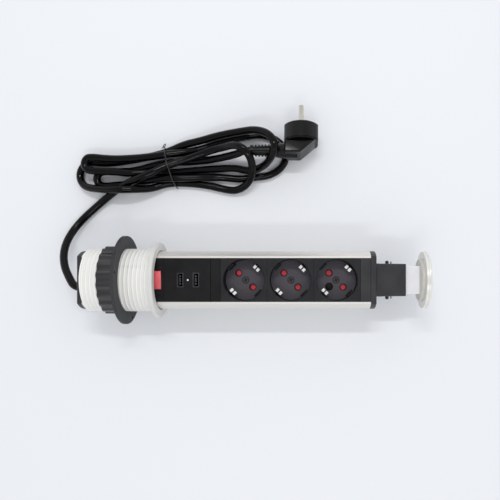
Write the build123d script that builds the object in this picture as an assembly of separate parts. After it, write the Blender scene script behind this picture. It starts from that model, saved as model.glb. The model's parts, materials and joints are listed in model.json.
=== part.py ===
from build123d import *

import math
import os

# A pop-up desk socket lying on a table, its mains lead folded into a tied hank beside it.
# Millimetres. X runs along the tower and out of the desk, Z is up from the table, and the
# origin is the centre of the flange's underside, where the sleeve drops into the desk.

# Sleeve that sits in the desk hole
tower_play = 0.7
sleeve_wall = 1.6
sleeve_length = 63.4
flange_rim = 6.2
flange_thick = 4.0
flange_round = 1.8

# Clamp under the desk
washer_rim = 12.2
washer_thick = 3.0
clamp_gap = 28.0
screw_hole_radius = 1.5
screw_hole_inset = 2.6
screw_hole_count = 3
screw_hole_turn = 80.0
thread_play = 0.35
nut_rim = 3.2
nut_length = 16.5
nut_rim_length = 2.6
nut_lobe_count = 20
nut_lobe_depth = 1.3
nut_grip_drop = 0.8
nut_scoop_share = 0.75
clamp_play = 0.02

# Guides inside the sleeve
slide_play = 0.3
guide_start = 24.0
guide_length = 34.0
guide_inner = 14.0
brake_start = 12.0
brake_length = 8.0
brake_play = 0.1
brake_arc_share = 0.34

# Tower extrusion
tower_flat = 16.5
tower_wall = 1.8
channel_play = 0.2
lip_width = 1.65
lip_thick = 2.0
tongue_thick = 1.9
tongue_width = 1.6
rail_thick = 1.5
screw_port_radius = 2.7
screw_port_bore = 1.3
screw_port_turns = (205.0, 270.0, 335.0)
fit_play = 0.1

# Modules along the tower, from the bottom end
switch_sink = 12.0
blank_length = 53.9
switch_length = 22.0
usb_length = 43.3
spacer_length = 9.2
cup_gap = 2.9
socket_count = 3
top_spacer_length = 9.9

# End caps
bottom_cap_thick = 4.9
top_cap_thick = 5.4
cap_round = 1.6
cap_screw_radius = 1.2
cap_screw_head = 1.9
cap_screw_head_thick = 1.4
cap_screw_length = 9.0

# Rocker switch
rocker_length = 16.2
rocker_width = 10.8
rocker_play = 0.3
rocker_offset = 14.0
rocker_crown = 6.6
rocker_dip = 1.5
rocker_root = 4.0
rocker_tilt = 7.0
rocker_pivot_depth = 6.0
rocker_pin_radius = 1.0
rocker_pin_length = 0.9
pin_play = 0.05
bezel_length = 16.6
bezel_width = 26.0
bezel_corner = 1.0
bezel_raise = 0.5
housing_depth = 15.0
housing_wall = 2.2
terminal_width = 6.3
terminal_thick = 0.8
terminal_length = 7.0
terminal_pitch = 4.6
terminal_count = 3

# Charging module
usb_port_shares = (0.349, 0.688)
usb_shell_width = 13.1
usb_shell_height = 5.7
usb_shell_wall = 0.4
usb_shell_depth = 14.0
usb_shell_sink = 0.3
usb_tongue_width = 11.0
usb_tongue_thick = 1.9
usb_tongue_sink = 1.2
usb_lens_share = 0.515
usb_lens_radius = 0.9
board_thick = 1.6
board_edge = 2.5
board_width = 34.0
post_radius = 1.7
post_inset = 3.2
transformer_width = 20.0
transformer_height = 11.0
transformer_chamfer = 1.2
capacitor_radius = 5.0
capacitor_height = 12.0
capacitor_gap = 3.0
capacitor_round = 0.6
lens_raise = 0.2

# Earthed socket
recess_radius = 19.0
recess_depth = 17.5
recess_wall = 1.15
recess_lead_in = 0.6
floor_thick = 3.2
pin_pitch = 19.0
pin_hole_radius = 2.7
pin_hole_lead = 0.8
pin_line_turn = 135.0
key_rib_width = 7.6
key_rib_height = 2.3
key_rib_drop = 2.2
key_slot_width = 1.6
chamber_width = 34.0
chamber_low_width = 26.0
chamber_wall = 1.4
chamber_step_drop = 6.8
chamber_drop = 16.0

# Shutter behind the pin holes
shutter_gap = 0.3
shutter_thick = 1.6
shutter_blade_width = 7.2
shutter_reach = 13.2
shutter_boss_radius = 2.0

# Contacts
contact_bore = 2.35
contact_wall = 0.8
contact_height = 6.6
contact_slit = 0.8
bar_width = 5.0
bar_thick = 1.0
earth_width = 6.5
earth_thick = 0.8
earth_inset = 1.8
earth_drop = 4.4
earth_rise = 9.0
earth_lip = 2.6
earth_lip_height = 3.0
earth_slot_play = 0.25
carrier_thick = 1.6
carrier_overhang = 3.0

# Mains entry at the bottom end
gland_side = -7.0
gland_radius = 6.6
gland_lip = 1.4
gland_neck_radius = 5.4
block_length = 16.0
block_width = 26.0
block_top = 7.0
wire_radius = 1.0
wire_pitch = 5.0
wire_count = 3

# Neck, catches and lid
neck_length = 28.3
neck_width = 31.2
neck_thick = 18.0
neck_wall = 1.6
neck_taper_share = 0.975
neck_corner = 1.5
stem_play = 0.3
stem_overlap = 13.7
lid_travel = 13.0
stem_corner = 1.0
hub_radius = 20.5
hub_thick = 3.0
hub_chamfer = 1.0
lid_radius = 27.1
lid_thick = 5.0
lid_round = 1.4
lid_groove = 0.35
lid_groove_width = 0.6
spring_radius = 4.2
spring_wire = 0.5
spring_turns = 8
spring_play = 0.5
catch_rise = 11.7
catch_radius = 1.7
catch_shoulder_radius = 2.2
catch_shoulder_thick = 0.7
catch_reach = 2.9
catch_nose = 1.2
catch_slot_depth = 4.0
catch_slot_play = 0.4
catch_wire_radius = 0.8
catch_wire_offset = 3.8
catch_wire_reach = 2.2

# Mains plug, lying on its round side
table_drop = 42.0
plug_x = 137.0
plug_y = 152.0
plug_tip = 10.0
plug_round_radius = 18.5
plug_flat_width = 33.2
plug_front_length = 16.0
plug_waist_length = 1.2
plug_waist_inset = 0.7
plug_rear_length = 12.8
plug_rear_thick = 25.0
plug_rear_inset = 3.0
plug_rear_corner = 17.6
plug_rear_round = 2.0
plug_rear_chamfer = 1.5
plug_round_edge = 1.2
plug_pin_radius = 2.4
plug_pin_length = 19.0
plug_pin_round = 1.0
plug_earth_width = 8.0
plug_earth_thick = 0.8
plug_earth_length = 12.0
arm_back = 24.2
arm_radius = 7.7
arm_end_radius = 6.6
arm_length = 8.0
relief_length = 26.0
relief_radius = 6.4
relief_tip_radius = 5.4
relief_rib_count = 8
relief_rib_depth = 1.3
relief_rib_share = 0.55

# Mains lead
cord_dia = 7.6
bend_share = 0.45
gap_step = 1.0
tie_radius = 0.5

# Places that follow from the sizes
cup_radius = recess_radius + recess_wall
channel_half = cup_radius + channel_play
tower_half = channel_half + lip_width
tower_radius = math.hypot(tower_half, tower_flat)
tower_bore = tower_radius - tower_wall

sleeve_bore = tower_radius + tower_play
sleeve_radius = sleeve_bore + sleeve_wall
flange_radius = sleeve_radius + flange_rim
washer_radius = sleeve_radius + washer_rim
nut_radius = sleeve_radius + nut_rim
washer_low = -clamp_gap - washer_thick
nut_high = washer_low - clamp_play
nut_low = nut_high - nut_length

groove_half = channel_half + tongue_width
tongue_high = tower_flat - lip_thick
tongue_low = tongue_high - tongue_thick
rail_low = tongue_low - rail_thick
panel_low = tongue_low + fit_play

socket_pitch = 2 * cup_radius + cup_gap
earth_reach = recess_radius - earth_inset
recess_floor = tower_flat - recess_depth
floor_low = recess_floor - floor_thick
chamber_step = floor_low - chamber_step_drop
chamber_low = floor_low - chamber_drop
carrier_mid = chamber_low - carrier_thick / 2

switch_start = -switch_sink
tower_start = switch_start - blank_length
usb_start = switch_start + switch_length
spacer_start = usb_start + usb_length
socket_start = spacer_start + spacer_length
socket_centres = [socket_start + (i + 1 / 2) * socket_pitch for i in range(socket_count)]
top_spacer_start = socket_start + socket_count * socket_pitch
tower_end = top_spacer_start + top_spacer_length
bottom_cap_low = tower_start - bottom_cap_thick
neck_start = tower_end + top_cap_thick
neck_end = neck_start + neck_length
stem_start = neck_end - stem_overlap
hub_start = neck_end + lid_travel + slide_play
lid_start = hub_start + hub_thick


def along(sketch, start, length):
    """A section drawn across the tower, run along it from start."""
    return extrude(Plane.YZ.offset(start) * sketch, length)


def raised(sketch, low, high):
    """A plan drawn on the table's plane, raised from low to high."""
    return extrude(Plane.XY.offset(low) * sketch, high - low)


def plan_box(x_low, x_high, y_low, y_high, low, high):
    """A block between two corners."""
    place = Pos((x_low + x_high) / 2, (y_low + y_high) / 2)
    return raised(place * Rectangle(x_high - x_low, y_high - y_low), low, high)


def d_shape(radius, flat):
    """A circle with one side cut flat, as a section across the tower."""
    return Circle(radius) - Pos(0, flat + radius) * Rectangle(2 * radius, 2 * radius)


def rod(radius, start, length, side=0, height=0):
    """A round bar along the tower."""
    return along(Pos(side, height) * Circle(radius), start, length)


def upright(radius, x, y, low, high):
    """A round bar standing on end."""
    return raised(Pos(x, y) * Circle(radius), low, high)


# Sleeve, guides and clamp
def flanged_sleeve():
    flange = rod(flange_radius, 0, flange_thick)
    flange = fillet(flange.edges().sort_by(Axis.X)[-1], flange_round)
    body = flange + rod(sleeve_radius, -sleeve_length, sleeve_length)
    return body - rod(sleeve_bore, -sleeve_length, sleeve_length + flange_thick)


def guide_rails():
    lowest = tower_flat + slide_play
    reach = sleeve_bore - guide_inner
    blank = Rectangle(reach, sleeve_bore)
    rails = []
    for side in (-1, 1):
        place = Pos(side * (guide_inner + reach / 2), lowest + sleeve_bore / 2)
        section = Circle(sleeve_bore) & place * blank
        rails.append(along(section, -guide_start - guide_length, guide_length))
    return Compound(rails)


def brake_band():
    ring = Circle(sleeve_bore) - Circle(tower_radius + brake_play)
    drop = tower_radius * math.cos(math.pi * brake_arc_share)
    below = Pos(0, -drop - sleeve_bore / 2) * Rectangle(2 * sleeve_bore, sleeve_bore)
    return along(ring & below, -brake_start - brake_length, brake_length)


def clamp_washer():
    hole_circle = washer_radius - screw_hole_inset
    section = Circle(washer_radius) - Circle(sleeve_radius + thread_play)
    holes = PolarLocations(hole_circle, screw_hole_count, screw_hole_turn)
    section -= [place * Circle(screw_hole_radius) for place in holes]
    return along(section, washer_low, washer_thick)


def clamp_nut():
    grip_radius = nut_radius - nut_grip_drop
    scoop = nut_scoop_share * 2 * math.pi * grip_radius / nut_lobe_count
    scoop_radius = (scoop**2 / 4 + nut_lobe_depth**2) / (2 * nut_lobe_depth)
    scoops = PolarLocations(grip_radius + scoop_radius - nut_lobe_depth, nut_lobe_count)
    grip = Circle(grip_radius) - [place * Circle(scoop_radius) for place in scoops]
    body = along(grip, nut_low, nut_length) + rod(nut_radius, nut_high - nut_rim_length, nut_rim_length)
    return body - rod(sleeve_radius + thread_play, nut_low, nut_length)


# Tower shell and its end caps
def screw_places():
    reach = tower_radius - screw_port_radius
    turns = [math.radians(turn) for turn in screw_port_turns]
    return [(reach * math.cos(turn), reach * math.sin(turn)) for turn in turns]


def tower_profile():
    section = d_shape(tower_radius, tower_flat) - d_shape(tower_bore, rail_low)
    channel = Rectangle(2 * channel_half, tower_flat - rail_low)
    groove = Rectangle(2 * groove_half, tongue_thick)
    section -= Pos(0, (rail_low + tower_flat) / 2) * channel
    section -= Pos(0, (tongue_low + tongue_high) / 2) * groove
    for side, height in screw_places():
        section += Pos(side, height) * Circle(screw_port_radius)
    for side, height in screw_places():
        section -= Pos(side, height) * Circle(screw_port_bore)
    return along(section, tower_start, tower_end - tower_start)


def end_cap(start, thick, outer_end):
    """A cap of the tower's section; outer_end is -1 at the bottom and 1 at the top."""
    cap = along(d_shape(tower_radius, tower_flat), start, thick)
    face = cap.faces().sort_by(Axis.X)[0 if outer_end < 0 else -1]
    cap = fillet(face.edges(), cap_round)
    head_start = start if outer_end < 0 else start + thick - cap_screw_head_thick
    for side, height in screw_places():
        cap -= rod(cap_screw_radius + fit_play, start, thick, side, height)
        cap -= rod(cap_screw_head + fit_play, head_start, cap_screw_head_thick, side, height)
    return cap


def cap_screws():
    screws = []
    for side, height in screw_places():
        shank = rod(cap_screw_radius, bottom_cap_low, cap_screw_length, side, height)
        head = rod(cap_screw_head, bottom_cap_low, cap_screw_head_thick, side, height)
        screws.append(shank + head)
        top_start = neck_start - cap_screw_length
        shank = rod(cap_screw_radius, top_start, cap_screw_length, side, height)
        head_start = neck_start - cap_screw_head_thick
        screws.append(shank + rod(cap_screw_head, head_start, cap_screw_head_thick, side, height))
    return Compound(screws)


def bottom_cap():
    cap = end_cap(bottom_cap_low, bottom_cap_thick, -1)
    return cap - rod(gland_neck_radius, bottom_cap_low, bottom_cap_thick, gland_side)


# Modules that slide into the tower's front channel
def panel(start, length):
    """A front plate with the two tongues that run in the tower's grooves."""
    half = channel_half - fit_play
    section = Pos(0, (panel_low + tower_flat) / 2) * Rectangle(2 * half, tower_flat - panel_low)
    tongue_top = tongue_high - fit_play
    tongues = Rectangle(2 * (groove_half - fit_play), tongue_top - panel_low)
    section += Pos(0, (panel_low + tongue_top) / 2) * tongues
    return along(section, start + fit_play, length - 2 * fit_play)


rocker_x = switch_start + rocker_offset
rocker_pivot = tower_flat - rocker_pivot_depth
rocker_swing = math.hypot(rocker_length / 2, rocker_crown)
rocker_bay_half = rocker_width / 2 + rocker_play


def rocker_bay():
    """The room cut for the rocker: a drum about its pivot."""
    return rod(rocker_swing + rocker_play, rocker_x - rocker_bay_half, 2 * rocker_bay_half, 0, rocker_pivot)


def switch_panel():
    plate = panel(switch_start, switch_length)
    bezel = Pos(rocker_x, 0) * RectangleRounded(bezel_length, bezel_width, bezel_corner)
    plate += raised(bezel, tower_flat, tower_flat + bezel_raise)
    return plate - rocker_bay()


def switch_housing():
    half_x = rocker_bay_half + housing_wall
    half_y = rocker_swing + rocker_play + housing_wall
    low = panel_low - housing_depth
    box = plan_box(rocker_x - half_x, rocker_x + half_x, -half_y, half_y, low, panel_low)
    pin_half = rocker_width / 2 + rocker_pin_length + rocker_play
    hole = rod(rocker_pin_radius + pin_play, rocker_x - pin_half, 2 * pin_half, 0, rocker_pivot)
    return box - rocker_bay() - hole


def rocker():
    top = rocker_crown
    half = rocker_length / 2
    outline = Polyline(
        (-rocker_swing, -rocker_root),
        (rocker_swing, -rocker_root),
        (rocker_swing, top),
        (half, top),
        (0, top - rocker_dip),
        (-half, top),
        (-rocker_swing, top),
        close=True,
    )
    section = make_face(outline) & Circle(rocker_swing)
    body = along(section, -rocker_width / 2, rocker_width)
    pin_half = rocker_width / 2 + rocker_pin_length
    body += rod(rocker_pin_radius, -pin_half, 2 * pin_half)
    return Pos(rocker_x, 0, rocker_pivot) * Rot(rocker_tilt, 0, 0) * body


def switch_terminals():
    low = panel_low - housing_depth
    blades = []
    for i in range(terminal_count):
        x = rocker_x + (i - (terminal_count - 1) / 2) * terminal_pitch
        half_x, half_y = terminal_thick / 2, terminal_width / 2
        blades.append(plan_box(x - half_x, x + half_x, -half_y, half_y, low - terminal_length, low))
    return Compound(blades)


# Charging module
shell_high = tower_flat - usb_shell_sink
board_high = shell_high - usb_shell_depth
board_low = board_high - board_thick
usb_centres = [usb_start + share * usb_length for share in usb_port_shares]
usb_lens_x = usb_start + usb_lens_share * usb_length
usb_end = usb_start + usb_length
capacitor_x = usb_end - board_edge - capacitor_radius - fit_play


def usb_panel():
    plate = panel(usb_start, usb_length)
    for x in usb_centres:
        slot = Rectangle(usb_shell_height + 2 * fit_play, usb_shell_width + 2 * fit_play)
        plate -= raised(Pos(x, 0) * slot, panel_low, tower_flat)
    plate -= upright(usb_lens_radius + fit_play, usb_lens_x, 0, panel_low, tower_flat)
    for x in (usb_start + board_edge + post_inset, usb_end - board_edge - post_inset):
        for side in (-1, 1):
            y = side * (board_width / 2 - post_inset)
            plate += upright(post_radius, x, y, board_high, panel_low)
    return plate


def usb_port(x):
    outer = Pos(x, 0) * RectangleRounded(usb_shell_height, usb_shell_width, usb_shell_wall)
    inner_height = usb_shell_height - 2 * usb_shell_wall
    inner = Pos(x, 0) * Rectangle(inner_height, usb_shell_width - 2 * usb_shell_wall)
    return raised(outer, board_high, shell_high) - raised(inner, board_high + usb_shell_wall, shell_high)


def usb_tongues():
    tongues = []
    for x in usb_centres:
        side_x = x - usb_shell_height / 2 + usb_shell_wall + fit_play
        half_y = usb_tongue_width / 2
        high = shell_high - usb_tongue_sink
        low = board_high + usb_shell_wall
        tongues.append(plan_box(side_x, side_x + usb_tongue_thick, -half_y, half_y, low, high))
    return Compound(tongues)


def status_led():
    return upright(usb_lens_radius, usb_lens_x, 0, board_high, tower_flat + lens_raise)


def usb_board():
    half = board_width / 2
    return plan_box(usb_start + board_edge, usb_end - board_edge, -half, half, board_low, board_high)


def usb_transformer():
    x_low = usb_start + board_edge + post_inset
    half = transformer_width / 2
    low = board_low - transformer_height
    x_high = capacitor_x - capacitor_radius - capacitor_gap
    body = plan_box(x_low, x_high, -half, half, low, board_low)
    return chamfer(body.edges() | Axis.Z, transformer_chamfer)


def usb_capacitor():
    can = upright(capacitor_radius, capacitor_x, 0, board_low - capacitor_height, board_low)
    return fillet(can.edges().sort_by(Axis.Z)[0], capacitor_round)


# Earthed sockets
def pin_places(x):
    turn = math.radians(pin_line_turn)
    reach = pin_pitch / 2
    return [(x + sign * reach * math.cos(turn), sign * reach * math.sin(turn)) for sign in (1, -1)]


def chamber_section(inset, step, top):
    """The stepped room under a socket's floor, across the tower."""
    wide = Rectangle(chamber_width - 2 * inset, top - step)
    narrow = Rectangle(chamber_low_width - 2 * inset, top - chamber_low)
    return Pos(0, (top + step) / 2) * wide + Pos(0, (top + chamber_low) / 2) * narrow


def socket_insert(x):
    start = x - socket_pitch / 2
    body = panel(start, socket_pitch) + upright(cup_radius, x, 0, floor_low, panel_low)
    chamber = chamber_section(0, chamber_step, recess_floor)
    chamber -= chamber_section(chamber_wall, chamber_step + chamber_wall, floor_low)
    body += along(chamber, start + fit_play, socket_pitch - 2 * fit_play)
    body -= upright(recess_radius, x, 0, recess_floor, tower_flat)
    lead_in = Cone(recess_radius, recess_radius + recess_lead_in, recess_lead_in)
    body -= Pos(x, 0, tower_flat - recess_lead_in / 2) * lead_in
    rib = Rectangle(key_rib_height + recess_wall, key_rib_width)
    rib_centre = recess_radius - key_rib_height + (key_rib_height + recess_wall) / 2
    for turn in (pin_line_turn, pin_line_turn + 180):
        place = Pos(x, 0) * Rot(0, 0, turn) * Pos(rib_centre, 0)
        rib_top = tower_flat - key_rib_drop
        ridge = raised(place * rib, recess_floor, rib_top)
        body += ridge & upright(cup_radius, x, 0, recess_floor, tower_flat)
        for side in (-1, 1):
            aside = side * (key_rib_width + key_slot_width) / 2
            slit = place * Pos(0, aside) * Rectangle(key_rib_height + recess_wall, key_slot_width)
            cut = raised(slit, recess_floor, rib_top)
            body -= cut & upright(cup_radius, x, 0, recess_floor, rib_top)
    for pin_x, pin_y in pin_places(x):
        body -= upright(pin_hole_radius, pin_x, pin_y, floor_low, recess_floor)
        mouth = Cone(pin_hole_radius, pin_hole_radius + pin_hole_lead, pin_hole_lead)
        body -= Pos(pin_x, pin_y, recess_floor - pin_hole_lead / 2) * mouth
    slot = Rectangle(earth_thick + 2 * earth_slot_play, earth_width + 2 * earth_slot_play)
    for turn in (pin_line_turn + 90, pin_line_turn - 90):
        place = Pos(x, 0) * Rot(0, 0, turn) * Pos(earth_reach, 0)
        body -= raised(place * slot, floor_low, recess_floor)
    boss_low = floor_low - shutter_thick - 2 * shutter_gap
    return body + upright(shutter_boss_radius, x, 0, boss_low, floor_low)


def shutter(x):
    high = floor_low - shutter_gap
    blade = SlotOverall(2 * shutter_reach, shutter_blade_width) - Circle(shutter_boss_radius + pin_play)
    return raised(Pos(x, 0) * Rot(0, 0, pin_line_turn) * blade, high - shutter_thick, high)


earth_low = floor_low - earth_drop
earth_high = recess_floor + earth_rise


def earth_clip(x):
    """One sprung strip: under the floor, up through its two slots and inwards at both lips."""
    knee = earth_high - earth_lip_height
    half = [
        (earth_reach, earth_high),
        (earth_reach - earth_lip, (earth_high + knee) / 2),
        (earth_reach, knee),
        (earth_reach, earth_low),
    ]
    points = half + [(-reach, height) for reach, height in reversed(half)]
    strip = trace(Polyline(*points), earth_thick)
    body = extrude(Plane.XZ * strip, earth_width / 2, both=True)
    return Pos(x, 0) * Rot(0, 0, pin_line_turn - 90) * body


def earth_busbar():
    high = earth_low - earth_thick / 2
    half = bar_width / 2
    return plan_box(socket_centres[0] - half, socket_centres[-1] + half, -half, half, high - bar_thick, high)


def busbar(which):
    """The strip that feeds one pin of every socket, with a slit tube for each."""
    places = [pin_places(x)[which] for x in socket_centres]
    y = places[0][1]
    half = bar_width / 2
    high = chamber_low + bar_thick
    x_high = places[-1][0] + half
    body = plan_box(socket_start - carrier_overhang, x_high, y - half, y + half, chamber_low, high)
    for x, y in places:
        body += upright(contact_bore + contact_wall, x, y, chamber_low, high + contact_height)
    for x, y in places:
        body -= upright(contact_bore, x, y, chamber_low, high + contact_height)
        slit = plan_box(
            x - contact_slit / 2,
            x + contact_slit / 2,
            y - contact_bore - contact_wall,
            y + contact_bore + contact_wall,
            high,
            high + contact_height,
        )
        body -= slit
    return body


def contact_carrier():
    half = chamber_low_width / 2
    start = socket_start - carrier_overhang
    return plan_box(start, top_spacer_start, -half, half, chamber_low - carrier_thick, chamber_low)


# Mains entry
def cord_gland():
    lip = rod(gland_radius, bottom_cap_low - gland_lip, gland_lip, gland_side)
    lip = fillet(lip.edges().sort_by(Axis.X)[0], gland_lip / 2)
    return lip + rod(gland_neck_radius, bottom_cap_low, bottom_cap_thick, gland_side)


def terminal_block():
    half = block_width / 2
    low = carrier_mid - wire_radius
    return plan_box(tower_start, tower_start + block_length, -half, half, low, block_top)


def inner_leads():
    start = tower_start + block_length
    length = socket_start - carrier_overhang - start
    sides = [(i - (wire_count - 1) / 2) * wire_pitch for i in range(wire_count)]
    return Compound([rod(wire_radius, start, length, side, carrier_mid) for side in sides])


# Neck, catches and lid
neck_inner_width = neck_width * neck_taper_share - 2 * neck_wall
neck_inner_thick = neck_thick * neck_taper_share - 2 * neck_wall
catch_x = neck_start + catch_rise
stem_width = neck_inner_width - 2 * stem_play
stem_thick = neck_inner_thick - 2 * stem_play
spring_room = spring_radius + spring_wire + spring_play


def neck_tube():
    base = Plane.YZ.offset(neck_start) * RectangleRounded(neck_width, neck_thick, neck_corner)
    mouth_width = neck_width * neck_taper_share
    mouth_thick = neck_thick * neck_taper_share
    mouth = Plane.YZ.offset(neck_end) * RectangleRounded(mouth_width, mouth_thick, neck_corner)
    body = loft([base, mouth])
    body -= along(Rectangle(neck_inner_width, neck_inner_thick), neck_start, neck_length)
    for x, radius in ((catch_x, catch_radius), (catch_x + catch_wire_offset, catch_wire_radius)):
        hole = Cylinder(radius + pin_play, 2 * neck_width, rotation=(90, 0, 0))
        body -= Pos(x, 0, 0) * hole
    return body


def across(radius, x, y_low, y_high):
    """A round bar across the tower."""
    return Pos(x, (y_low + y_high) / 2, 0) * Cylinder(radius, y_high - y_low, rotation=(90, 0, 0))


def catch():
    """The catch of the +Y side: a round-nosed pin with a shoulder inside the neck's wall."""
    seat = neck_inner_width / 2 - pin_play
    foot = seat - catch_shoulder_thick
    tip = neck_width / 2 + catch_reach
    pin = across(catch_radius, catch_x, foot, tip)
    pin = fillet(pin.edges().sort_by(Axis.Y)[-1], catch_nose)
    return pin + across(catch_shoulder_radius, catch_x, foot, seat)


def catch_wires():
    x = catch_x + catch_wire_offset
    wire = across(catch_wire_radius, x, neck_inner_width / 2, neck_width / 2 + catch_wire_reach)
    return Compound([wire, mirror(wire, Plane.XZ)])


def lid_stem():
    body = along(RectangleRounded(stem_width, stem_thick, stem_corner), stem_start, hub_start - stem_start)
    body -= rod(spring_room, stem_start, hub_start - stem_start - hub_thick)
    slot_half = catch_shoulder_radius + catch_slot_play
    slot_end = catch_x + lid_travel + slot_half
    outer = stem_width / 2
    inner = outer - catch_slot_depth
    slot = plan_box(stem_start, slot_end, inner, outer, -slot_half, slot_half)
    return body - slot - mirror(slot, Plane.XZ)


def lid_spring():
    start = neck_start + spring_wire
    height = hub_start - hub_thick - spring_wire - start
    coil = Helix(height / spring_turns, height, spring_radius, center=(start, 0, 0), direction=(1, 0, 0))
    section = Plane(coil @ 0, z_dir=coil % 0) * Circle(spring_wire)
    return sweep(section, path=coil, is_frenet=True)


def lid_hub():
    hub = rod(hub_radius, hub_start, hub_thick)
    return chamfer(hub.edges().sort_by(Axis.X)[0], hub_chamfer)


def lid_cap():
    disc = rod(lid_radius, lid_start, lid_thick)
    disc = fillet(disc.edges().sort_by(Axis.X)[-1], lid_round)
    ring = Circle(lid_radius) - Circle(lid_radius - lid_groove)
    return disc - along(ring, lid_start + lid_thick / 2 - lid_groove_width / 2, lid_groove_width)


# Mains plug, drawn with its face at the origin and its pins along Y, then laid down
plug_turn = math.radians(plug_tip)
plug_rest = (plug_round_radius - plug_round_edge) * math.cos(plug_turn)
plug_height = plug_rest + plug_round_edge * (1 - math.sin(plug_turn)) - table_drop
plug_pose = Location((plug_x, plug_y, plug_height), (-plug_tip, 0, 0))
plug_half = plug_flat_width / 2


def plug_face(inset=0):
    wide = plug_flat_width - 2 * inset
    return Circle(plug_round_radius - inset) & Rectangle(wide, 2 * plug_round_radius)


def behind_face(sketch, start, length):
    """A section drawn across the plug's axis, run backwards from start behind its face."""
    return extrude(Plane.XZ.offset(start) * sketch, length)


def mains_plug():
    front = behind_face(plug_face(), 0, plug_front_length)
    front = fillet(front.edges().group_by(Axis.Y)[-1], plug_round_edge)
    rear_start = plug_front_length + plug_waist_length
    waist = behind_face(plug_face(plug_waist_inset), plug_front_length, plug_waist_length)
    outline = Polyline(
        (-plug_half, -rear_start),
        (plug_half - plug_rear_inset, -rear_start),
        (plug_half - plug_rear_corner, -rear_start - plug_rear_length),
        (-plug_half, -rear_start - plug_rear_length),
        close=True,
    )
    rear = raised(make_face(outline), -plug_rear_thick / 2, plug_rear_thick / 2)
    rear = fillet(rear.edges().filter_by(Axis.Z).sort_by(Axis.Y)[:2], plug_rear_round)
    rear = chamfer(rear.edges().group_by(Axis.Z)[-1] + rear.edges().group_by(Axis.Z)[0], plug_rear_chamfer)
    arm = Cone(arm_radius, arm_end_radius, arm_length, align=(Align.CENTER, Align.CENTER, Align.MIN))
    arm = Pos(-plug_half, -arm_back, 0) * Rot(0, -90, 0) * arm
    root = Pos(-plug_half, -arm_back, 0) * Rot(0, 90, 0)
    root *= Cylinder(arm_radius, plug_rear_length, align=(Align.CENTER, Align.CENTER, Align.MIN))
    body = front + waist + rear + arm + root
    for side in (-1, 1):
        edge = side * (plug_half - plug_earth_thick / 2)
        pocket = Pos(edge, 0) * Rectangle(plug_earth_thick, plug_earth_width)
        body -= behind_face(pocket, 0, plug_earth_length)
    return plug_pose * body


def plug_earth_contacts():
    strips = []
    for side in (-1, 1):
        edge = side * (plug_half - plug_earth_thick / 2)
        strip = Pos(edge, 0) * Rectangle(plug_earth_thick, plug_earth_width)
        strips.append(plug_pose * behind_face(strip, plug_round_edge, plug_earth_length - plug_round_edge))
    return Compound(strips)


def plug_pins():
    pins = []
    for side in (-1, 1):
        place = Pos(0, side * pin_pitch / 2)
        pin = behind_face(place * Circle(plug_pin_radius), -plug_pin_length, plug_pin_length)
        pin = fillet(pin.edges().sort_by(Axis.Y)[-1], plug_pin_round)
        pins.append(plug_pose * pin)
    return Compound(pins)


relief_start = -plug_half - arm_length


def plug_strain_relief():
    """A tapered boot with evenly spaced grooves, turned about the plug's side arm."""
    step = relief_length / relief_rib_count
    points = [(0, 0)]
    for i in range(relief_rib_count):
        share = i / relief_rib_count
        radius = relief_radius + (relief_tip_radius - relief_radius) * share
        groove_start = (i + relief_rib_share) * step
        points += [(i * step, radius), (groove_start, radius)]
        points += [(groove_start, radius - relief_rib_depth), ((i + 1) * step, radius - relief_rib_depth)]
    points = points[:-2] + [(relief_length, points[-3][1]), (relief_length, 0)]
    section = make_face(Polyline(*points, close=True))
    boot = revolve(Plane.XY * section, Axis.X)
    return plug_pose * Pos(relief_start, -arm_back, 0) * Rot(0, 0, 180) * boot


# Mains lead: places in millimetres across the table, and height above it
lead_points = [
    (-72.2, -7.0, 42.0), (-79.4, -7.0, 42.0), (-86.8, 2.3, 37.0), (-93.8, 12.7, 31.0),
    (-98.0, 25.1, 24.0), (-98.7, 37.5, 16.0), (-95.1, 49.6, 9.0), (-87.0, 61.6, 5.0),
    (-75.6, 72.6, 4.0), (-63.6, 82.5, 5.0), (-51.1, 90.9, 9.4), (-37.4, 97.9, 14.3),
    (-23.0, 102.1, 19.5), (-10.0, 107.8, 19.5), (-3.4, 111.5, 18.0),
]
tie_points = [
    (-3.4, 136.2, 0.9), (-2.9, 135.6, 8.0), (0.2, 129.5, 18.1), (3.0, 116.5, 21.8),
    (5.2, 109.6, 20.2), (8.4, 99.0, 17.6), (9.6, 94.6, 9.0), (9.8, 94.2, 0.9),
]


def bight(centre, reach, half, first, last, heights):
    """One fold of the hank: an oval arc from first to last turn, with its heights."""
    points = []
    for i, height in enumerate(heights):
        turn = math.radians(first + (last - first) * i / (len(heights) - 1))
        points.append((centre[0] + reach * math.cos(turn), centre[1] + half * math.sin(turn), height))
    return points


hank_points = [
    (-3.4, 111.5, 18.0), (3.2, 115.2, 16.5), (17.9, 119.8, 15.0), (33.7, 125.7, 14.2), (49.0, 130.9, 16.0),
]
hank_points += bight((66.5, 112.0), 22.5, 20.8, 105, -95, (21, 28, 33, 32.5, 28, 21, 14, 9, 5.5, 4.2))
hank_points += [
    (42.1, 96.7, 3.9), (23.7, 99.0, 3.9), (0.5, 99.4, 4.2), (-15.2, 92.9, 7.4),
    (-30.6, 90.8, 17.2), (-46.5, 89.9, 20.5), (-64.6, 91.3, 14.0),
]
hank_points += bight((-75.5, 107.0), 14.6, 14.2, -112, -248, (8, 5, 4, 4, 4))
hank_points += [
    (-63.9, 119.3, 4.0), (-39.4, 122.0, 4.2), (-18.9, 125.8, 4.4), (0.5, 130.8, 4.6),
    (17.6, 138.1, 6.7), (35.0, 140.9, 10.2), (53.6, 145.7, 13.0),
]
hank_points += bight((84.5, 130.0), 27.0, 19.0, 100, -96, (19, 24, 29, 33.5, 35.5, 35.5, 29, 18, 11.2, 7.2))
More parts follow.
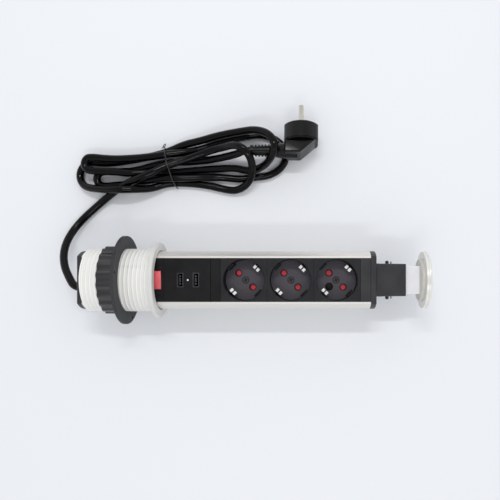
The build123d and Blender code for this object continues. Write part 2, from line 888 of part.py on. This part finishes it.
hank_points += [
    (68.7, 114.9, 4.3), (48.3, 113.6, 3.9), (29.9, 112.2, 3.9), (14.7, 110.7, 4.2),
    (0.6, 109.2, 5.0), (-15.8, 109.9, 8.8), (-32.9, 107.2, 12.4), (-51.0, 109.3, 12.4),
]
hank_points += bight((-74.0, 117.2), 8.0, 7.6, -110, -250, (12.4, 12.4, 12.4, 12.4, 12.4))
hank_points += [
    (-55.1, 121.9, 12.2), (-35.0, 122.5, 12.4), (-14.8, 124.2, 12.6), (2.3, 127.0, 12.8),
    (19.2, 129.5, 9.0), (34.7, 133.7, 3.9), (50.3, 140.2, 3.9),
]
hank_points += bight((92.0, 127.0), 29.5, 22.0, 105, -95, (3.9, 3.9, 3.9, 3.9, 3.9, 3.9, 3.9, 3.9, 3.9))
hank_points += [
    (74.7, 102.9, 3.9), (54.4, 105.2, 3.9), (36.8, 104.3, 8.6), (21.3, 103.0, 12.2),
    (2.4, 102.6, 12.9), (-16.0, 101.8, 10.3), (-33.1, 97.8, 4.6), (-49.6, 97.5, 3.9),
]
hank_points += bight((-65.0, 103.5), 8.0, 7.9, -85, -265, (3.9, 3.9, 3.9, 3.9, 3.9))
hank_points += [
    (-51.7, 110.8, 3.9), (-33.3, 111.4, 3.9), (-17.0, 116.3, 3.9), (0.6, 119.9, 5.0),
    (17.8, 120.8, 4.4), (34.1, 121.8, 4.4), (51.0, 123.1, 8.5), (64.9, 124.8, 14.5),
    (74.4, 126.0, 19.5), (79.6, 128.2, 22.4), (86.4, 128.2, 22.4),
]


def cord_path(points):
    """Straight runs through the points, each corner rounded by its own arc."""
    corners = [Vector(x, y, height - table_drop) for x, y, height in points]
    radii = []
    for before, here, after in zip(corners, corners[1:], corners[2:]):
        turn = math.radians((here - before).get_angle(after - here))
        reach = bend_share * min((here - before).length, (after - here).length)
        radii.append(reach / math.tan(turn / 2))
    return FilletPolyline(*corners, radius=radii), radii


def cord(path, radius):
    """A round section swept along a path."""
    section = Plane(path @ 0, z_dir=path % 0) * Circle(radius)
    return sweep(section, path=path)


def least_gap(path, dia):
    """The least clearance of a path from its own other strands."""
    count = int(path.length / gap_step)
    spots = [path @ (i / count) for i in range(count + 1)]
    apart = int(math.pi * dia / gap_step)
    nearest = min((spots[i] - spots[k]).length for i in range(count) for k in range(i + apart, count + 1))
    return nearest - dia


lead_path, lead_radii = cord_path(lead_points)
hank_path, hank_radii = cord_path(hank_points)
tie_path, tie_radii = cord_path(tie_points)


nodes = {
    "flanged_sleeve": flanged_sleeve(),
    "guide_rails": guide_rails(),
    "brake_band": brake_band(),
    "clamp_washer": clamp_washer(),
    "clamp_nut": clamp_nut(),
    "tower_profile": tower_profile(),
    "bottom_cap": bottom_cap(),
    "top_cap": end_cap(tower_end, top_cap_thick, 1),
    "cap_screws": cap_screws(),
    "blank_panel": panel(tower_start, blank_length),
    "switch_panel": switch_panel(),
    "switch_housing": switch_housing(),
    "switch_terminals": switch_terminals(),
    "rocker": rocker(),
    "usb_panel": usb_panel(),
    "usb_port_1": usb_port(usb_centres[0]),
    "usb_port_2": usb_port(usb_centres[1]),
    "usb_tongues": usb_tongues(),
    "status_led": status_led(),
    "usb_board": usb_board(),
    "usb_transformer": usb_transformer(),
    "usb_capacitor": usb_capacitor(),
    "lower_spacer": panel(spacer_start, spacer_length),
    "upper_spacer": panel(top_spacer_start, top_spacer_length),
    "earth_busbar": earth_busbar(),
    "live_busbar": busbar(0),
    "neutral_busbar": busbar(1),
    "contact_carrier": contact_carrier(),
    "terminal_block": terminal_block(),
    "inner_leads": inner_leads(),
    "cord_gland": cord_gland(),
    "neck_tube": neck_tube(),
    "catch_left": catch(),
    "catch_right": mirror(catch(), Plane.XZ),
    "catch_wires": catch_wires(),
    "lid_stem": lid_stem(),
    "lid_spring": lid_spring(),
    "lid_hub": lid_hub(),
    "lid_cap": lid_cap(),
    "cord_lead": cord(lead_path, cord_dia / 2),
    "cord_hank": cord(hank_path, cord_dia / 2),
    "cord_tie": cord(tie_path, tie_radius),
    "plug_strain_relief": plug_strain_relief(),
    "mains_plug": mains_plug(),
    "plug_pins": plug_pins(),
    "plug_earth_contacts": plug_earth_contacts(),
}
for i, x in enumerate(socket_centres, start=1):
    nodes[f"socket_insert_{i}"] = socket_insert(x)
    nodes[f"shutter_{i}"] = shutter(x)
    nodes[f"earth_clip_{i}"] = earth_clip(x)

os.makedirs("parts", exist_ok=True)
for name, shape in nodes.items():
    export_step(shape, f"parts/{name}.step")

for title, path, radii in (("lead", lead_path, lead_radii), ("hank", hank_path, hank_radii)):
    lengths = (cord_dia / 2) ** 2 * math.pi * path.length
    volume = nodes[f"cord_{title}"].volume
    print(title, "length", round(path.length, 1), "least radius", round(min(radii), 1), "mm")
    print(title, "bend radii", [round(radius, 1) for radius in radii])
    print(title, "volume share of section times length", round(volume / lengths, 4))
print("hank least gap to itself", round(least_gap(hank_path, cord_dia), 2), "mm")
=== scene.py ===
import json
import math

import bmesh
import bpy
from mathutils import Matrix, Vector


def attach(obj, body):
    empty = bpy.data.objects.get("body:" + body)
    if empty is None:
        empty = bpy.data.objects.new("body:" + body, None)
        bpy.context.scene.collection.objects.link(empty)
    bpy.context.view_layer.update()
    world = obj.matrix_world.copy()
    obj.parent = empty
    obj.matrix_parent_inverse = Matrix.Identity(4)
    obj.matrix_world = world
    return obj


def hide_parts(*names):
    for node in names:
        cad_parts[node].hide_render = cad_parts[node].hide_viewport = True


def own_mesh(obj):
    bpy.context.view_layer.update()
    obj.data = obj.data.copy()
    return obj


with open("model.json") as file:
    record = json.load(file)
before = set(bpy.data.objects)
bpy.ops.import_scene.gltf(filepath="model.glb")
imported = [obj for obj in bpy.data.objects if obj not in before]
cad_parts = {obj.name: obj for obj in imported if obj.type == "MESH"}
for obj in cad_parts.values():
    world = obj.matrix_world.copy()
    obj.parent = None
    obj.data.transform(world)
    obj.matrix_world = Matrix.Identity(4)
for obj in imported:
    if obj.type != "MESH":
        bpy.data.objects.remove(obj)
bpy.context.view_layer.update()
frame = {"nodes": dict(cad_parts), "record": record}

# Lengths are in metres and edge angles in degrees. X runs out of the desk along the tower's
# axis, and Z up from the table that it lies on.
FLOOR = -0.042
SOCKET_PITCH = 0.0432
SOCKETS = (0.0841, 0.1273, 0.1705)
RECESS_FLOOR = -0.001
PORTS = (0.0251, 0.0398)
SHARP_ANGLE = 28
ADDED_SHARP_ANGLE = 30

record = frame["record"]
node_body = {node: body for body, nodes in record["behaviour"]["bodies"].items() for node in nodes}


# Materials. Colours are given as they look on screen, from 0 to 255.
def colour(rgb):
    """The same colour in Blender's linear values: the screen's standard curve, undone."""
    shares = [value / 255 for value in rgb]
    return [s / 12.92 if s <= 0.04045 else ((s + 0.055) / 1.055) ** 2.4 for s in shares] + [1.0]


class Maker:
    """A material with its node tree, built a node at a time."""

    def __init__(self, name):
        self.material = bpy.data.materials.new(name)
        self.material.use_nodes = True
        self.tree = self.material.node_tree
        self.shader = self.tree.nodes["Principled BSDF"]

    def put(self, value, socket):
        if isinstance(value, bpy.types.NodeSocket):
            self.tree.links.new(value, socket)
        else:
            socket.default_value = value

    def feed(self, name, value):
        """Give one of the shader's inputs its value, or link it to a node's output."""
        self.put(value, self.shader.inputs[name])

    def fed(self, name):
        """The output that one of the shader's inputs is linked to now."""
        return self.shader.inputs[name].links[0].from_socket

    def node(self, kind, values=None, **settings):
        made = self.tree.nodes.new(kind)
        for key, value in settings.items():
            setattr(made, key, value)
        for key, value in (values or {}).items():
            self.put(value, made.inputs[key])
        return made

    def math(self, operation, first, second=0.0):
        return self.node("ShaderNodeMath", {0: first, 1: second}, operation=operation).outputs[0]

    def place(self):
        return self.node("ShaderNodeTexCoord").outputs["Object"]

    def place_xyz(self):
        return self.node("ShaderNodeSeparateXYZ", {0: self.place()}).outputs

    def noise(self, scale, stretch, detail):
        mapping = {"Vector": self.place(), "Scale": stretch}
        spot = self.node("ShaderNodeMapping", mapping).outputs[0]
        values = {"Vector": spot, "Scale": scale, "Detail": detail}
        return self.node("ShaderNodeTexNoise", values).outputs["Fac"]

    def blend(self, share, low, high, first, second):
        """The first colour where share is under low, the second where it is over high."""
        values = {"Value": share, "From Min": low, "From Max": high}
        limited = self.node("ShaderNodeMapRange", values).outputs[0]
        mixed = self.node("ShaderNodeMix", {0: limited}, data_type="RGBA")
        for name, value in (("A", first), ("B", second)):
            self.put(value, next(s for s in mixed.inputs if (s.name, s.type) == (name, "RGBA")))
        return next(s for s in mixed.outputs if s.type == "RGBA")


BROAD_SCALE = 60.0
BROAD_DETAIL = 3.0
FINE_DETAIL = 2.0
TONE_FROM, TONE_TO = 0.35, 0.65
WEAR_FROM, WEAR_TO = 0.3, 0.7
WEAR = 0.12
GRAIN_DEPTH = 0.0001


def surface(
    name, rgb, rough,
    metal=0.0, spread=6, grain=900.0, bump=0.2, stretch=(1, 1, 1), coat=0.0, shine=0.5,
):
    """A maker of one colour with a slight spread of tone, wear in its gloss and a fine grain."""
    maker = Maker(name)
    broad = maker.noise(BROAD_SCALE, stretch, BROAD_DETAIL)
    fine = maker.noise(grain, stretch, FINE_DETAIL)
    dark = colour([max(0, v - spread) for v in rgb])
    light = colour([min(255, v + spread) for v in rgb])
    maker.feed("Base Color", maker.blend(broad, TONE_FROM, TONE_TO, dark, light))
    values = {
        "Value": broad,
        "From Min": WEAR_FROM,
        "From Max": WEAR_TO,
        "To Min": rough * (1 - WEAR),
        "To Max": rough * (1 + WEAR),
    }
    maker.feed("Roughness", maker.node("ShaderNodeMapRange", values).outputs[0])
    maker.feed("Metallic", metal)
    maker.feed("Coat Weight", coat)
    maker.feed("Specular IOR Level", shine)
    relief = {"Height": fine, "Strength": bump, "Distance": GRAIN_DEPTH}
    maker.feed("Normal", maker.node("ShaderNodeBump", relief).outputs[0])
    return maker


def plain(*look, **settings):
    """The same surface where nothing more is done to it."""
    return surface(*look, **settings).material


aluminium = plain(
    "anodised_aluminium", (222, 219, 214), 0.4,
    metal=0.7, spread=4, grain=500.0, bump=0.4, stretch=(0.02, 1, 1),
)
lid_metal = plain(
    "lid_aluminium", (228, 227, 221), 0.34,
    metal=0.5, grain=700.0, bump=0.3, stretch=(1, 0.05, 1),
)
lid_grey = plain("lid_hub_grey", (196, 195, 188), 0.5, metal=0.2)
panel_black = plain(
    "panel_black", (26, 26, 27), 0.45,
    spread=3, grain=1500.0, bump=0.8, shine=0.12,
)
spacer_black = plain(
    "spacer_black", (52, 52, 54), 0.45,
    spread=3, grain=1500.0, bump=0.8, shine=0.18,
)
dark_plastic = plain(
    "dark_plastic", (44, 44, 46), 0.42,
    spread=4, grain=1200.0, bump=0.5, shine=0.35,
)
nut_black = plain("nut_black", (18, 18, 19), 0.2, spread=4, grain=1200.0, bump=0.3, shine=0.7)
washer_black = plain(
    "washer_black", (44, 44, 47), 0.55,
    spread=8, grain=700.0, bump=1.0, stretch=(1, 0.15, 1), shine=0.3,
)
felt = plain("felt", (60, 60, 60), 0.95, spread=8, grain=300.0, bump=1.0)
steel = plain("steel", (186, 186, 188), 0.28, metal=1.0)
brass = plain("brass", (196, 170, 110), 0.3, metal=1.0)
nickel = plain("pin_nickel", (198, 194, 184), 0.22, metal=1.0, spread=5)
red = plain("rocker_red", (255, 118, 124), 0.16, bump=0.1, coat=0.6)
shutter_red = plain("shutter_red", (224, 18, 44), 0.22, shine=0.8)
pale = plain("pale_plastic", (228, 228, 230), 0.42, spread=3)
board_green = plain("board", (30, 92, 52), 0.4)
wire_skin = plain("wire_skin", (96, 84, 140), 0.4)
rubber = plain("cord_rubber", (3, 3, 4), 0.08, spread=1, grain=1400.0, bump=0.02, shine=0.18)
plug_rubber = plain("plug_rubber", (12, 12, 13), 0.2, spread=2, grain=1600.0, bump=0.1, shine=0.24)
screw_dark = plain("screw_dark", (58, 58, 61), 0.4, metal=0.3)
tie_wire = plain("tie_wire", (44, 44, 46), 0.35, metal=0.2)
port_metal = plain("port_metal", (98, 98, 100), 0.4, metal=0.8)
slot_black = plain("slot_black", (8, 8, 9), 0.6, shine=0.2)

LENS_ALPHA = 0.85
lens_maker = surface("lens", (236, 236, 226), 0.2, spread=2)
lens_maker.feed("Alpha", LENS_ALPHA)
lens = lens_maker.material

THREAD_PITCH = 0.0038
THREAD_START, THREAD_END = -0.0622, -0.0012
THREAD_DEPTH = 0.0009
THREAD_STRENGTH = 0.6
THREAD_FULLNESS = 0.6
VALLEY_SHADE_FROM, VALLEY_SHADE_TO = 0.55, 1.0
OUTER_WALL = 0.0292
FLANGE_BACK = -0.0008


def threaded():
    """The sleeve's moulded grey with a screw thread round its outer wall, painted shade in the
    thread's valleys and painted shade on the flange.
    """
    maker = surface("sleeve_grey", (240, 239, 235), 0.4, spread=4, bump=0.4)
    x, y, z = maker.place_xyz()
    turns = maker.math("DIVIDE", maker.math("ARCTAN2", z, y), 2 * math.pi)
    phase = maker.math("ADD", maker.math("DIVIDE", x, THREAD_PITCH), turns)
    wave = maker.math("SINE", maker.math("MULTIPLY", phase, 2 * math.pi))
    ridge = maker.math("POWER", maker.math("MAXIMUM", wave, 0.0), THREAD_FULLNESS)
    squares = [maker.math("MULTIPLY", side, side) for side in (y, z)]
    reach = maker.math("SQRT", maker.math("ADD", *squares))
    here = maker.math("GREATER_THAN", reach, OUTER_WALL)
    here = maker.math("MULTIPLY", here, maker.math("GREATER_THAN", x, THREAD_START))
    here = maker.math("MULTIPLY", here, maker.math("LESS_THAN", x, THREAD_END))
    relief = {
        "Height": maker.math("MULTIPLY", ridge, here),
        "Strength": THREAD_STRENGTH,
        "Distance": THREAD_DEPTH,
        "Normal": maker.fed("Normal"),
    }
    maker.feed("Normal", maker.node("ShaderNodeBump", relief).outputs[0])
    # Painted shade: the thread's valleys are painted darker than the sleeve's grey, and the flange
    # darker still.
    valley_shade_mask = maker.math("MULTIPLY", here, maker.math("SUBTRACT", 1.0, ridge))
    sunk = colour((226, 225, 220))
    flange_shade = colour((206, 206, 202))
    tone = maker.blend(valley_shade_mask, VALLEY_SHADE_FROM, VALLEY_SHADE_TO, maker.fed("Base Color"), sunk)
    maker.feed("Base Color", maker.blend(x, FLANGE_BACK, 0.0, tone, flange_shade))
    return maker.material


# Heights between which a socket's holes turn to recess floor, that to wall, and that to plate
HOLES_END = (-0.00118, -0.00112)
RECESS_FLOOR_END = (-0.0008, -0.0002)
WALL_END = (0.0152, 0.0158)


def sunk_black():
    """A socket's black by height: painted shade in the pin holes, painted light on the recess
    floor, painted shade on the recess wall, and the plate's own black.
    """
    maker = surface(
        "socket_black", (34, 34, 36), 0.45,
        spread=3, grain=1500.0, bump=0.6, shine=0.18,
    )
    height = maker.place_xyz()[2]
    # Painted shade: the pin holes and the recess wall are painted near black. Painted light: the
    # recess floor is painted lighter than the plate.
    hole_shade = colour((4, 4, 5))
    floor_painted_light = colour((84, 81, 87))
    wall_shade = colour((8, 8, 9))
    plate = maker.fed("Base Color")
    tone = maker.blend(height, *HOLES_END, hole_shade, floor_painted_light)
    tone = maker.blend(height, *RECESS_FLOOR_END, tone, wall_shade)
    maker.feed("Base Color", maker.blend(height, *WALL_END, tone, plate))
    return maker.material


SLOT_SHADE_HALF, SLOT_SHADE_EDGE = 0.0005, 0.0008


def forked_metal():
    """The earth clips' bright metal, each with painted shade down its middle, at 45 degrees, in
    place of the slot between its fingers.
    """
    maker = surface("clip_metal", (250, 250, 248), 0.35, metal=0.35, spread=3)
    x, y, _ = maker.place_xyz()
    from_first = maker.math("SUBTRACT", x, SOCKETS[0] - SOCKET_PITCH / 2)
    cell = maker.math("FLOORED_MODULO", from_first, SOCKET_PITCH)
    aside = maker.math("SUBTRACT", y, maker.math("SUBTRACT", cell, SOCKET_PITCH / 2))
    away = maker.math("ABSOLUTE", maker.math("MULTIPLY", aside, math.sqrt(0.5)))
    # Painted shade: a dark stripe down each clip stands in for its slot.
    slot_shade = colour((24, 24, 24))
    metal = maker.fed("Base Color")
    maker.feed("Base Color", maker.blend(away, SLOT_SHADE_HALF, SLOT_SHADE_EDGE, slot_shade, metal))
    return maker.material


sleeve_grey = threaded()
clip_metal = forked_metal()
socket_black = sunk_black()

# Each node's material, and the width of its rounded edges
looks = {
    "flanged_sleeve": (sleeve_grey, 0.0003),
    "guide_rails": (dark_plastic, 0),
    "brake_band": (felt, 0),
    "clamp_washer": (washer_black, 0.0003),
    "clamp_nut": (nut_black, 0.0003),
    "tower_profile": (aluminium, 0.0002),
    "bottom_cap": (dark_plastic, 0),
    "top_cap": (dark_plastic, 0),
    "cap_screws": (steel, 0.0002),
    "switch_panel": (panel_black, 0.0005),
    "upper_spacer": (spacer_black, 0.0005),
    "rocker": (red, 0.0005),
    "switch_terminals": (brass, 0),
    "usb_port_1": (port_metal, 0),
    "usb_port_2": (port_metal, 0),
    "usb_tongues": (slot_black, 0),
    "status_led": (lens, 0.0002),
    "usb_board": (board_green, 0),
    "usb_transformer": (slot_black, 0),
    "usb_capacitor": (steel, 0),
    "earth_busbar": (brass, 0),
    "live_busbar": (brass, 0),
    "neutral_busbar": (brass, 0),
    "contact_carrier": (pale, 0),
    "terminal_block": (pale, 0.0003),
    "inner_leads": (wire_skin, 0),
    "cord_gland": (rubber, 0),
    "neck_tube": (dark_plastic, 0.0004),
    "catch_left": (nut_black, 0),
    "catch_right": (nut_black, 0),
    "catch_wires": (steel, 0.0002),
    "lid_stem": (pale, 0.0002),
    "lid_spring": (steel, 0),
    "lid_hub": (lid_grey, 0.0002),
    "lid_cap": (lid_metal, 0.0002),
    "plug_strain_relief": (plug_rubber, 0.0003),
    "mains_plug": (plug_rubber, 0.0004),
    "plug_pins": (nickel, 0),
    "plug_earth_contacts": (steel, 0.0002),
    "cord_tie": (tie_wire, 0),
}
for i in (1, 2, 3):
    looks[f"earth_clip_{i}"] = (clip_metal, 0)
    looks[f"shutter_{i}"] = (shutter_red, 0)
    looks[f"socket_insert_{i}"] = (socket_black, 0.0003)
BLACK_PLASTIC = (panel_black, 0.0004)

WELD = 1e-6
FLAT_ANGLE = 0.5
BEVEL_ANGLE = 40


def skin(node, material, bevel):
    """The shown copy of a CAD node: welded, smoothed and with its sharp edges slightly rounded."""
    mesh = frame["nodes"][node].data.copy()
    piece = bpy.data.objects.new(f"look_{node}", mesh)
    bpy.context.scene.collection.objects.link(piece)
    work = bmesh.new()
    work.from_mesh(mesh)
    bmesh.ops.remove_doubles(work, verts=work.verts, dist=WELD)
    flat = math.radians(FLAT_ANGLE)
    bmesh.ops.dissolve_limit(work, angle_limit=flat, verts=work.verts, edges=work.edges)
    work.to_mesh(mesh)
    work.free()
    mesh.materials.clear()
    mesh.materials.append(material)
    mesh.shade_smooth()
    mesh.set_sharp_from_angle(angle=math.radians(SHARP_ANGLE))
    if bevel:
        edge = piece.modifiers.new("edge", "BEVEL")
        edge.width = bevel
        edge.segments = 2
        edge.limit_method = "ANGLE"
        edge.angle_limit = math.radians(BEVEL_ANGLE)
        edge.harden_normals = True
    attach(piece, node_body[node])
    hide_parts(node)
    return piece


CORD_NODES = ("cord_lead", "cord_hank")
shown = {
    node: skin(node, *looks.get(node, BLACK_PLASTIC))
    for node in node_body
    if node not in CORD_NODES
}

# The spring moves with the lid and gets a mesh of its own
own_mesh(shown["lid_spring"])


# The mains lead: the solids' own route as one curve, in points of (x, y, height over the table)
def bight(centre, reach, half, first, last, heights):
    """An end fold: points round an ellipse from one angle to another, one for each height."""
    points = []
    for i, height in enumerate(heights):
        turn = math.radians(first + (last - first) * i / (len(heights) - 1))
        x = centre[0] + reach * math.cos(turn)
        points.append((x, centre[1] + half * math.sin(turn), height))
    return points


route = [
    (-0.0722, -0.007, 0.042), (-0.0794, -0.007, 0.042), (-0.0868, 0.0023, 0.037),
    (-0.0938, 0.0127, 0.031), (-0.098, 0.0251, 0.024), (-0.0987, 0.0375, 0.016),
    (-0.0951, 0.0496, 0.009), (-0.087, 0.0616, 0.005), (-0.0756, 0.0726, 0.004),
    (-0.0636, 0.0825, 0.005), (-0.0511, 0.0909, 0.0094), (-0.0374, 0.0979, 0.0143),
    (-0.023, 0.1021, 0.0195), (-0.01, 0.1078, 0.0195), (0.0032, 0.1152, 0.0165),
    (0.0179, 0.1198, 0.015), (0.0337, 0.1257, 0.0142), (0.049, 0.1309, 0.016),
]
route += bight(
    (0.0665, 0.112), 0.0225, 0.0208, 105, -95,
    (0.021, 0.028, 0.033, 0.0325, 0.028, 0.021, 0.014, 0.009, 0.0055, 0.0042),
)
route += [
    (0.0421, 0.0967, 0.0039), (0.0237, 0.099, 0.0039), (0.0005, 0.0994, 0.0042),
    (-0.0152, 0.0929, 0.0074), (-0.0306, 0.0908, 0.0172), (-0.0465, 0.0899, 0.0205),
    (-0.0646, 0.0913, 0.014),
]
route += bight((-0.0755, 0.107), 0.0146, 0.0142, -112, -248, (0.008, 0.005, 0.004, 0.004, 0.004))
route += [
    (-0.0639, 0.1193, 0.004), (-0.0394, 0.122, 0.0042), (-0.0189, 0.1258, 0.0044),
    (0.0005, 0.1308, 0.0046), (0.0176, 0.1381, 0.0067), (0.035, 0.1409, 0.0102),
    (0.0536, 0.1457, 0.013),
]
route += bight(
    (0.0845, 0.13), 0.027, 0.019, 100, -96,
    (0.019, 0.024, 0.029, 0.0335, 0.0355, 0.0355, 0.029, 0.018, 0.0112, 0.0072),
)
route += [
    (0.0687, 0.1149, 0.0043), (0.0483, 0.1136, 0.0039), (0.0299, 0.1122, 0.0039),
    (0.0147, 0.1107, 0.0042), (0.0006, 0.1092, 0.005), (-0.0158, 0.1099, 0.0088),
    (-0.0329, 0.1072, 0.0124), (-0.051, 0.1093, 0.0124),
]
route += bight((-0.074, 0.1172), 0.008, 0.0076, -110, -250, (0.0124,) * 5)
route += [
    (-0.0551, 0.1219, 0.0122), (-0.035, 0.1225, 0.0124), (-0.0148, 0.1242, 0.0126),
    (0.0023, 0.127, 0.0128), (0.0192, 0.1295, 0.009), (0.0347, 0.1337, 0.0039),
    (0.0503, 0.1402, 0.0039),
]
route += bight((0.092, 0.127), 0.0295, 0.022, 105, -95, (0.0039,) * 9)
route += [
    (0.0747, 0.1029, 0.0039), (0.0544, 0.1052, 0.0039), (0.0368, 0.1043, 0.0086),
    (0.0213, 0.103, 0.0122), (0.0024, 0.1026, 0.0129), (-0.016, 0.1018, 0.0103),
    (-0.0331, 0.0978, 0.0046), (-0.0496, 0.0975, 0.0039),
]
route += bight((-0.065, 0.1035), 0.008, 0.0079, -85, -265, (0.0039,) * 5)
route += [
    (-0.0517, 0.1108, 0.0039), (-0.0333, 0.1114, 0.0039), (-0.017, 0.1163, 0.0039),
    (0.0006, 0.1199, 0.005), (0.0178, 0.1208, 0.0044), (0.0341, 0.1218, 0.0044),
    (0.051, 0.1231, 0.0085), (0.0649, 0.1248, 0.0145), (0.0744, 0.126, 0.0195),
    (0.0796, 0.1282, 0.0224), (0.0864, 0.1282, 0.0224),
]


def tube(name, points, radius, material):
    """A round wire along a smooth curve that the points steer."""
    data = bpy.data.curves.new(name, "CURVE")
    data.dimensions = "3D"
    data.bevel_depth = radius
    data.bevel_resolution = 5
    data.resolution_u = 8
    data.use_fill_caps = True
    line = data.splines.new("NURBS")
    line.points.add(len(points) - 1)
    for spot, (x, y, height) in zip(line.points, points):
        spot.co = (x, y, height + FLOOR, 1.0)
    line.order_u = 3
    line.use_endpoint_u = True
    line.use_smooth = True
    data.materials.append(material)
    piece = bpy.data.objects.new(name, data)
    bpy.context.scene.collection.objects.link(piece)
    return piece


CORD_RADIUS = 0.0038
TIE_RADIUS = 0.0004
tie_end = [
    (-0.0029, 0.1358, 0.0095), (-0.0012, 0.1372, 0.0125), (0.0008, 0.1366, 0.0145),
    (0.0008, 0.1346, 0.0158), (-0.0014, 0.1335, 0.0162), (-0.0026, 0.1318, 0.0168),
]
tail = tube("tie_tail", tie_end, TIE_RADIUS, tie_wire)
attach(tail, "tower")

cord = tube("mains_lead", route, CORD_RADIUS, rubber)
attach(cord, "tower")
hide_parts(*CORD_NODES)


# Small added pieces
def solid(name, work, material):
    """A piece on the tower from the faces in work, which it uses up."""
    mesh = bpy.data.meshes.new(name)
    work.to_mesh(mesh)
    work.free()
    mesh.materials.append(material)
    mesh.shade_smooth()
    mesh.set_sharp_from_angle(angle=math.radians(ADDED_SHARP_ANGLE))
    piece = bpy.data.objects.new(name, mesh)
    bpy.context.scene.collection.objects.link(piece)
    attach(piece, "tower")


TURNED_SIDES = 40


def add_turned(work, centre, profile):
    """A turned form standing on Z: profile is a list of (radius, height) from bottom to top."""
    rings = []
    for radius, height in profile:
        ring = []
        for i in range(TURNED_SIDES):
            turn = 2 * math.pi * i / TURNED_SIDES
            x = centre[0] + radius * math.cos(turn)
            y = centre[1] + radius * math.sin(turn)
            ring.append(work.verts.new((x, y, centre[2] + height)))
        rings.append(ring)
    for low, high in zip(rings, rings[1:]):
        for i in range(TURNED_SIDES):
            k = (i + 1) % TURNED_SIDES
            work.faces.new((low[i], low[k], high[k], high[i]))
    work.faces.new(list(reversed(rings[0])))
    work.faces.new(rings[-1])


def add_block(work, centre, size, turn=0.0):
    """A block round its centre, turned about Z."""
    made = bmesh.ops.create_cube(work, size=1.0)["verts"]
    bmesh.ops.scale(work, vec=size, verts=made)
    spin = Matrix.Rotation(turn, 3, "Z")
    bmesh.ops.rotate(work, matrix=spin, verts=made)
    bmesh.ops.translate(work, vec=centre, verts=made)


# Profiles start just over the recess floor, so no two faces lie in one plane
HEAD_TOP = 0.0009
HEAD_PROFILE = [(0.0033, 0.00002), (0.0033, 0.0005), (0.0028, HEAD_TOP)]
CROSS_SIZE = (0.0036, 0.0007, 0.00012)
CROSS_TURN = 0.35
for i, x in enumerate(SOCKETS, start=1):
    head = bmesh.new()
    add_turned(head, (x, 0, RECESS_FLOOR), HEAD_PROFILE)
    solid(f"centre_screw_{i}", head, screw_dark)
    # Painted shade: a thin black cross on each head stands in for the screw's cross recess.
    cross_shade = bmesh.new()
    for turn in (CROSS_TURN, CROSS_TURN + math.pi / 2):
        add_block(cross_shade, (x, 0, RECESS_FLOOR + HEAD_TOP), CROSS_SIZE, turn)
    solid(f"centre_cross_{i}", cross_shade, slot_black)

CONTACT_SIZE = (0.0004, 0.0009, 0.0078)
CONTACT_SHIFT = -0.0002
CONTACT_HEIGHT = 0.0110
CONTACT_ROW = (-0.0035, -0.001, 0.001, 0.0035)
for i, x in enumerate(PORTS, start=1):
    contacts = bmesh.new()
    for y in CONTACT_ROW:
        add_block(contacts, (x + CONTACT_SHIFT, y, CONTACT_HEIGHT), CONTACT_SIZE)
    solid(f"usb_contacts_{i}", contacts, steel)

BLANK_SHIFT = (-0.0066, -0.0062)
BLANK_PROFILE = [(0.00375, 0.00002), (0.00375, 0.0005), (0.0034, 0.0007)]
blank = bmesh.new()
add_turned(blank, (SOCKETS[2] + BLANK_SHIFT[0], BLANK_SHIFT[1], RECESS_FLOOR), BLANK_PROFILE)
solid("third_socket_blank", blank, slot_black)

# Floor, light and camera
scene = bpy.context.scene
FLOOR_HALF = 12.0
FLOOR_CENTRE = (0.08, 0.0)
FLOOR_GAP = 0.0001
sheet = bmesh.new()
bmesh.ops.create_grid(sheet, x_segments=1, y_segments=1, size=FLOOR_HALF)
mesh = bpy.data.meshes.new("floor")
sheet.to_mesh(mesh)
sheet.free()
floor = bpy.data.objects.new("floor", mesh)
floor.location = (*FLOOR_CENTRE, FLOOR - FLOOR_GAP)
scene.collection.objects.link(floor)
floor_maker = Maker("floor")
floor_maker.feed("Base Color", colour((232, 234, 237)))
floor_maker.feed("Roughness", 0.9)
floor_maker.feed("Specular IOR Level", 0.1)
mesh.materials.append(floor_maker.material)

LAMPS_AIM = Vector((0.09, 0.03, 0))


def area(name, place, size, power):
    """A soft lamp that faces the middle of the object."""
    data = bpy.data.lights.new(name, "AREA")
    data.shape = "RECTANGLE"
    data.size, data.size_y = size
    data.energy = power
    lamp = bpy.data.objects.new(name, data)
    lamp.location = place
    lamp.rotation_euler = (LAMPS_AIM - Vector(place)).to_track_quat("-Z", "Y").to_euler()
    scene.collection.objects.link(lamp)


area("key", (0.1, 0.6, 1.15), (0.5, 0.05), 4.2)
area("fill", (0.2, -0.65, 1.1), (0.5, 0.08), 2.0)

# A tent of light: dimmer overhead than at its sides
SIDE_LIGHT, OVERHEAD_LIGHT = 1.2, 0.62
world = bpy.data.worlds.new("studio")
scene.world = world
world.use_nodes = True
tree = world.node_tree
where = tree.nodes.new("ShaderNodeTexCoord")
split = tree.nodes.new("ShaderNodeSeparateXYZ")
level = tree.nodes.new("ShaderNodeMapRange")
level.inputs["To Min"].default_value = SIDE_LIGHT
level.inputs["To Max"].default_value = OVERHEAD_LIGHT
tree.links.new(where.outputs["Generated"], split.inputs[0])
tree.links.new(split.outputs[2], level.inputs["Value"])
tree.links.new(level.outputs[0], tree.nodes["Background"].inputs["Strength"])
tree.nodes["Background"].inputs["Color"].default_value = (0.965, 0.975, 1.0, 1.0)

camera_data = bpy.data.cameras.new("camera")
camera_data.sensor_width = 36.0
camera_data.lens = 39.93
camera_data.shift_x = -0.1146
camera_data.shift_y = 0.06
camera = bpy.data.objects.new("camera", camera_data)
camera.location = (0.143, 0.0, 0.53)
scene.collection.objects.link(camera)
scene.camera = camera

scene.view_settings.view_transform = "Standard"
